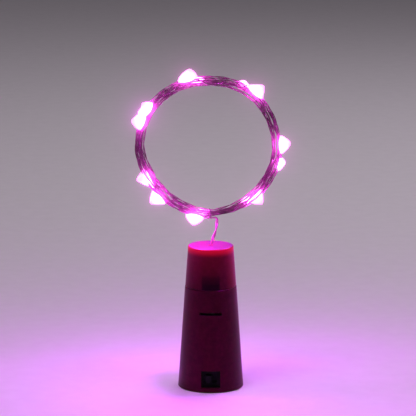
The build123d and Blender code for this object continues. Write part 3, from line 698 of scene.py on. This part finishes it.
# The cord's own line: a NURBS curve through those points, read back without a bevel
line_data = bpy.data.curves.new("string_line", "CURVE")
line_data.dimensions = "3D"
line_data.resolution_u = 4
spline = line_data.splines.new("NURBS")
spline.points.add(len(route) - 1)
for point, where in zip(spline.points, route):
    point.co = (*where, 1.0)
spline.order_u = 3
spline.use_endpoint_u = True
line_object = bpy.data.objects.new("string_line", line_data)
line_mesh = bpy.data.meshes.new_from_object(line_object)
line = np.array([v.co for v in line_mesh.vertices])
bpy.data.objects.remove(line_object)
keep = np.append(True, np.linalg.norm(np.diff(line, axis=0), axis=1) > 1e-6)
line = line[keep]


def carried_frames(points):
    """Two crossways directions at each point, carried along without twist."""
    tangents = np.gradient(points, axis=0)
    tangents /= np.linalg.norm(tangents, axis=1)[:, None]
    side = Vector(tangents[0]).orthogonal().normalized()
    sides = []
    for tangent in tangents:
        tangent = Vector(tangent)
        side = (side - tangent * side.dot(tangent)).normalized()
        sides.append(side.copy())
    sides = np.array(sides)
    return sides, np.cross(tangents, sides)


def ring_faces(rings, around):
    """Faces that join rings of vertices into one tube, closed at both ends."""
    faces = []
    for n in range(rings - 1):
        for k in range(around):
            m = (k + 1) % around
            faces.append((n * around + k, n * around + m, (n + 1) * around + m, (n + 1) * around + k))
    faces.append(tuple(reversed(range(around))))
    faces.append(tuple(range((rings - 1) * around, rings * around)))
    return faces


def tube(points, radii, around):
    """Vertices and faces of a round tube along points."""
    sides, ups = carried_frames(points)
    angles = np.arange(around) * 2 * math.pi / around
    ring = np.cos(angles)[None, :, None] * sides[:, None] + np.sin(angles)[None, :, None] * ups[:, None]
    vertices = (points[:, None] + ring * radii[:, None, None]).reshape(-1, 3)
    return vertices, ring_faces(len(points), around)


def piece(name, vertices, faces, *materials, smooth=True):
    """A mesh object with its materials."""
    data = bpy.data.meshes.new(name)
    data.from_pydata([tuple(v) for v in vertices], [], faces)
    data.validate()
    data.shade_smooth() if smooth else data.shade_flat()
    for material in materials:
        data.materials.append(material)
    made = bpy.data.objects.new(name, data)
    bpy.context.scene.collection.objects.link(made)
    return made


# Enamelled copper: metal under a clear red-brown varnish, which makes it look darker than bare copper and
# gives each wire a hard, thin highlight. It is drawn through a die and then coated. Beside each drop the
# wires get a painted pink glow, as emission.
painted_wire_glow = "#FF58E4"
painted_wire_glow_power = 9.5
painted_wire_glow_reach = 1.5 * mm
painted_wire_glow_full = 1.0 * mm
lead_glow = 0.045
shaded_share = 0.2
varnish_streak = 0.9 * mm
enamel, shader, place = surface("enamelled_copper_wire", {
    "Metallic": 0.6,
    "Coat Weight": 0.7,
    "Coat Roughness": 0.1,
    "Coat IOR": 1.6,
    "Emission Color": srgb(painted_wire_glow),
})
streak = add(enamel, "TexNoise", {"Scale": 1 / varnish_streak, "Detail": 3.0}, {"Vector": place})
tone = add(enamel, "ValToRGB", {"stops": [(0.3, "#4A0A38"), (0.55, "#721458"), (0.75, "#9C2A7A")]},
           {"Fac": streak.outputs["Fac"]})
gloss = add(enamel, "MapRange", {"To Min": 0.24, "To Max": 0.4}, {"Value": streak.outputs["Fac"]})
lit = add(enamel, "Attribute", {"attribute_name": "lit"})
patchy = add(enamel, "MapRange", {
    "From Min": 0.3,
    "From Max": 0.7,
    "To Min": 0.4 * painted_wire_glow_power,
    "To Max": 1.3 * painted_wire_glow_power,
}, {"Value": streak.outputs["Fac"]})
glowing = add(enamel, "Math", {"operation": "MULTIPLY"}, {0: lit.outputs["Fac"], 1: patchy.outputs["Result"]})
join(enamel, shader, Base_Color=tone.outputs["Color"], Roughness=gloss.outputs["Result"],
     Emission_Strength=glowing.outputs["Value"])

distance = np.append(0, np.cumsum(np.linalg.norm(np.diff(line, axis=0), axis=1)))
sides, ups = carried_frames(line)
in_lead = np.clip(1 - (distance - lead_length) / lead_taper, 0, 1)
offset = strand_offset + (lead_strand_offset - strand_offset) * in_lead
thickness = strand_radius + (lead_strand_radius - strand_radius) * in_lead
for where in drop_places:
    away = np.linalg.norm(line - np.array(where), axis=1)
    nearest = away.argmin()
    offset = offset + drop_parting * np.exp(-((distance - distance[nearest]) / drop_parting_reach) ** 2)
twist = 2 * math.pi * distance / twist_pitch + twist_sway * np.sin(distance / twist_sway_length)
vertices, outward, faces = np.zeros((0, 3)), np.zeros((0, 3)), []
for strand in (0, math.pi):
    across = np.cos(twist + strand)[:, None] * sides + np.sin(twist + strand)[:, None] * ups
    core = line + across * offset[:, None]
    more, more_faces = tube(core, thickness, strand_sides)
    faces += [tuple(v + len(vertices) for v in face) for face in more_faces]
    vertices = np.concatenate([vertices, more])
    from_core = more - np.repeat(core, strand_sides, axis=0)
    outward = np.concatenate([outward, from_core / np.repeat(thickness, strand_sides)[:, None]])
string = piece("light_string", vertices, faces, enamel)
# Painted light: how brightly each point of the wires glows, by its distance from the nearest chip and its
# facing, with a faint glow all along the lead
lit_places = np.array([where + way * chip_light_rise for where, way in zip(drop_places, drop_ways)])
to_lights = lit_places[None] - vertices[:, None]
from_light = np.linalg.norm(to_lights, axis=2)
nearest = from_light.argmin(1)
from_light = from_light[np.arange(len(vertices)), nearest]
towards = to_lights[np.arange(len(vertices)), nearest] / from_light[:, None]
facing_share = shaded_share + (1 - shaded_share) * np.clip((towards * outward).sum(1), 0, 1)
lit_share = np.minimum(np.exp((painted_wire_glow_full - from_light) / painted_wire_glow_reach), 1) * facing_share
lit_share += lead_glow * np.tile(np.repeat(in_lead, strand_sides), 2)
string.data.attributes.new("lit", "FLOAT", "POINT").data.foreach_set("value", lit_share)
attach(string, "cap")
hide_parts("lead_wire", "wire_coil")

# Light drops: clear resin cast by hand over each chip and the wires beside it, in a rounded wedge that
# points away from the ring. Lit from inside they are white at the heart and pink at the rim.
drop_half_length = 3.1 * mm
drop_half_width = 1.5 * mm
drop_tall = 3.2 * mm
drop_deep = 0.75 * mm
drop_neck = 0.3 * mm
drop_slices, drop_sides = 17, 18
drop_fullness = 0.85
tip_curve = 1.3
tip_narrowing = 0.42
tip_narrowing_curve = 1.5
# Each drop's shape: its scale, how much longer its tip is in mm, where along the drop that stands (0 is
# the middle) and how straight the sides run up to it
drop_shapes = (
    (1.0, 0.8, 0.25, 0.7),
    (1.0, 0, 0.0, 0.75),
    (1.0, 0.3, 0.2, 0.85),
    (1.08, 0, -0.45, 0.6),
    (0.95, 0.6, -0.3, 1.0),
    (1.0, 0.8, 0.0, 1.05),
    (1.1, 0.4, -0.25, 1.1),
    (0.95, 0.5, -0.4, 0.8),
    (0.85, 0, 0.1, 0.9),
    (0.72, 0.2, 0.3, 1.0),
    (0.8, 0, 0.1, 0.9),
    (1.12, 0.8, -0.55, 1.0),
    (0.9, 0, 0.0, 0.9),
    (0.8, 0, 0.1, 0.9),
    (0.95, 0.2, 0.0, 0.9),
)
glow_pink = "#FF58E6"
chip_light_colour = "#D846FF"
chip_power = 0.055
chip_throw = 0.9
chip_glow_radius = 0.6 * mm
resin_heart = 3.4 * mm
resin_swirl = 1.3 * mm

# Cast clear resin with light in it: glossy, with the glow strongest round the chip.
resin, shader, place = surface("cast_clear_resin", {
    "Base Color": srgb("#FBE3F7"),
    "IOR": 1.5,
    "Roughness": 0.12,
    "Emission Color": srgb(glow_pink),
})
centred = add(resin, "Mapping", {"Scale": (1 / resin_heart,) * 3}, {"Vector": place})
heart = add(resin, "TexGradient", {"gradient_type": "SPHERICAL"}, {"Vector": centred.outputs["Vector"]})
swirl = add(resin, "TexNoise", {"Scale": 1 / resin_swirl, "Detail": 2.0}, {"Vector": place})
uneven = add(resin, "MapRange", {"To Min": 0.7, "To Max": 1.3}, {"Value": swirl.outputs["Fac"]})
hot = add(resin, "MapRange", {"From Min": 0.05, "From Max": 0.6, "To Min": 4.0, "To Max": 12.0},
          {"Value": heart.outputs["Fac"]})
power = add(resin, "Math", {"operation": "MULTIPLY"}, {0: hot.outputs["Result"], 1: uneven.outputs["Result"]})
join(resin, shader, Emission_Strength=power.outputs["Value"])


def drop_points(scale, reach, apex, sharp):
    """Rings of points of one drop in its own frame: the wire along X, the tip up Z."""
    points = []
    for n in range(drop_slices):
        along = math.sin(math.pi / 2 * (2 * n / (drop_slices - 1) - 1))
        x = along * drop_half_length * scale
        towards = (along - apex) / (1 - apex) if along > apex else (apex - along) / (1 + apex)
        wide = drop_neck + (drop_half_width * scale - drop_neck) * (1 - along * along) ** drop_fullness
        tall = drop_neck + (reach - drop_neck) * (1 - min(towards, 1) ** tip_curve) ** sharp
        deep = drop_neck + (drop_deep * scale - drop_neck) * (1 - along * along)
        for k in range(drop_sides):
            turn_at = 2 * math.pi * k / drop_sides
            up = math.cos(turn_at)
            narrowing = 1 - tip_narrowing * max(up, 0) ** tip_narrowing_curve * tall / reach
            points.append((x, wide * math.sin(turn_at) * narrowing, (tall if up > 0 else deep) * up))
    return points


drops, drop_matrices = [], []
for number, (angle, where, way) in enumerate(zip(drop_at, drop_places, drop_ways)):
    scale, longer, apex, sharp = drop_shapes[number]
    points = drop_points(scale, drop_tall * scale + longer * mm, apex, sharp)
    drop = piece(f"drop_{number + 1:02d}", points, ring_faces(drop_slices, drop_sides), resin)
    round_off = drop.modifiers.new("round", "SUBSURF")
    round_off.levels = round_off.render_levels = 1
    side = way.cross(way_round(angle)).normalized()
    axes = Matrix((side.cross(way), side, way)).transposed().to_4x4()
    drop_matrices.append(Matrix.Translation(where) @ axes)
    drop.matrix_world = drop_matrices[-1]
    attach(drop, "cap")
    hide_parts(f"led_drop_{number + 1:02d}")
    # The resin lets the chip's light through to the wires and the case
    drop.visible_shadow = False
    glow = bpy.data.lights.new(f"chip_light_{number + 1:02d}", "POINT")
    # A chip throws most of its light out through the tip, so those that point down light the case more
    glow.energy = chip_power * (1 + chip_throw * max(-way.z, 0) ** 2)
    glow.color = srgb(chip_light_colour)[:3]
    glow.shadow_soft_size = chip_glow_radius
    chip_light = bpy.data.objects.new(glow.name, glow)
    chip_light.location = where + way * chip_light_rise
    bpy.context.scene.collection.objects.link(chip_light)
    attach(chip_light, "cap")
    drops.append(drop)

# Light chips: a moulded package, smaller than a grain of rice, in each drop, soldered across both wires.
# White moulding, two plated ends and a clear lens over the die.
chip_length, chip_width, chip_height = 1.6 * mm, 0.8 * mm, 0.5 * mm
chip_end = 0.3 * mm
chip_end_width, chip_end_height = 0.94, 0.6
lens_share, lens_height = 0.7, 1.35
chip_round = 0.06 * mm
package_blotch = 0.3 * mm

# Moulded white package, glowing from its die.
package, shader, place = surface("moulded_chip_package", {
    "Base Color": srgb("#F4ECF2"),
    "Roughness": 0.35,
    "Emission Color": srgb(glow_pink),
})
blotch = add(package, "TexNoise", {"Scale": 1 / package_blotch, "Detail": 2.0}, {"Vector": place})
power = add(package, "MapRange", {"To Min": 20.0, "To Max": 40.0}, {"Value": blotch.outputs["Fac"]})
join(package, shader, Emission_Strength=power.outputs["Result"])
# Body, two ends and lens: middle along the wire, length, width, height and material slot
body_length = chip_length - 2 * chip_end
end_middle = chip_length / 2 - chip_end / 2
chip_parts = (
    (0.0, body_length, chip_width, chip_height, 0),
    (-end_middle, chip_end, chip_width * chip_end_width, chip_height * chip_end_height, 1),
    (end_middle, chip_end, chip_width * chip_end_width, chip_height * chip_end_height, 1),
    (0.0, body_length * lens_share, chip_width * lens_share, chip_height * lens_height, 0),
)
chips = bmesh.new()
for matrix in drop_matrices:
    for middle, long, wide, tall, slot_number in chip_parts:
        base = Matrix.Translation((middle, 0, strand_offset + strand_radius + tall / 2))
        size = Matrix.Diagonal((long, wide, tall, 1))
        made = bmesh.ops.create_cube(chips, size=1, matrix=matrix @ base @ size)
        edges = {e for v in made["verts"] for e in v.link_edges}
        for face in {f for v in made["verts"] for f in v.link_faces}:
            face.material_index = slot_number
        bmesh.ops.bevel(chips, geom=list(edges), offset=chip_round, segments=2, affect="EDGES")
chip_data = bpy.data.meshes.new("light_chips")
chips.to_mesh(chip_data)
chips.free()
chip_data.materials.append(package)
chip_data.materials.append(solder)
light_chips = bpy.data.objects.new("light_chips", chip_data)
bpy.context.scene.collection.objects.link(light_chips)
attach(light_chips, "cap")
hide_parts("led_chips")

# Stage: a pale painted sheet that curves up behind the object, three soft lights and the camera.
# The camera stands just over a metre away and looks slightly down, as in the photograph.
sheet_half_width = 2.0
sheet_front = -2.0
sheet_back = 2.2
sheet_curve = 0.6
sheet_top = 2.0
sheet_curve_steps = 12
roller_grain = 6 * mm
profile = [(sheet_front, 0.0), (sheet_back - sheet_curve, 0.0)]
for n in range(1, sheet_curve_steps + 1):
    bend = math.pi / 2 * n / sheet_curve_steps
    along = sheet_back - sheet_curve + sheet_curve * math.sin(bend)
    profile.append((along, sheet_curve * (1 - math.cos(bend))))
profile.append((sheet_back, sheet_top))
vertices = [(side * sheet_half_width, y, z) for y, z in profile for side in (-1, 1)]
faces = [(2 * n, 2 * n + 1, 2 * n + 3, 2 * n + 2) for n in range(len(profile) - 1)]

# Matt emulsion paint: pale warm grey with a faint roller texture.
paint, shader, place = surface("rolled_matt_paint", {"Roughness": 0.6})
roller = add(paint, "TexNoise", {"Scale": 1 / roller_grain, "Detail": 4.0}, {"Vector": place})
tone = add(paint, "ValToRGB", {"stops": [(0.3, "#CCC8CC"), (0.7, "#D0CCD0")]}, {"Fac": roller.outputs["Fac"]})
relief = add(paint, "Bump", {"Strength": 0.04, "Distance": 0.1 * mm}, {"Height": roller.outputs["Fac"]})
join(paint, shader, Base_Color=tone.outputs["Color"], Normal=relief.outputs["Normal"])
backdrop = piece("backdrop", vertices, faces, paint)

middle_of_part = Vector((0, 0, 0.055))


def soft_light(name, where, size, power, colour):
    """A square soft light aimed at the middle of the part."""
    data = bpy.data.lights.new(name, "AREA")
    data.size = size
    data.energy = power
    data.color = srgb(colour)[:3]
    lamp = bpy.data.objects.new(name, data)
    lamp.location = where
    lamp.rotation_euler = (middle_of_part - Vector(where)).to_track_quat("-Z", "Y").to_euler()
    bpy.context.scene.collection.objects.link(lamp)


soft_light("key_light", (-0.45, -0.5, 0.7), 0.5, 3.0, "#FFFAF5")
soft_light("fill_light", (0.6, -0.4, 0.4), 0.5, 1.0, "#F5F0FF")
soft_light("back_light", (0.2, 0.45, 0.6), 0.5, 2.0, "#FFF5FF")
world = bpy.data.worlds.new("studio_air")
world.use_nodes = True
world.node_tree.nodes["Background"].inputs["Color"].default_value = srgb("#B4AEB6")
world.node_tree.nodes["Background"].inputs["Strength"].default_value = 0.22
bpy.context.scene.world = world

view_width = 142.5 * mm
aim = Vector((-0.95 * mm, 0, 62.6 * mm))
stand = Vector((-0.95 * mm, -1.1, 285.8 * mm))
camera_data = bpy.data.cameras.new("camera")
camera_data.sensor_width = 36.0
camera_data.lens = camera_data.sensor_width * (aim - stand).length / view_width
camera_data.clip_start, camera_data.clip_end = 0.05, 10.0
camera = bpy.data.objects.new("camera", camera_data)
camera.location = stand
camera.rotation_euler = (aim - stand).to_track_quat("-Z", "Y").to_euler()
bpy.context.scene.collection.objects.link(camera)
bpy.context.scene.camera = camera

# The lens's own bloom round the lit drops
scene = bpy.context.scene
scene.view_settings.view_transform = "Standard"
scene.use_nodes = True
tree = scene.node_tree
tree.nodes.clear()
layers = tree.nodes.new("CompositorNodeRLayers")
halo = tree.nodes.new("CompositorNodeGlare")
halo.glare_type = "BLOOM"
for name, value in (("Threshold", 1.5), ("Strength", 0.26), ("Size", 0.25), ("Maximum", 30.0)):
    halo.inputs[name].default_value = value
picture = tree.nodes.new("CompositorNodeComposite")
tree.links.new(layers.outputs["Image"], halo.inputs["Image"])
tree.links.new(halo.outputs["Image"], picture.inputs["Image"])
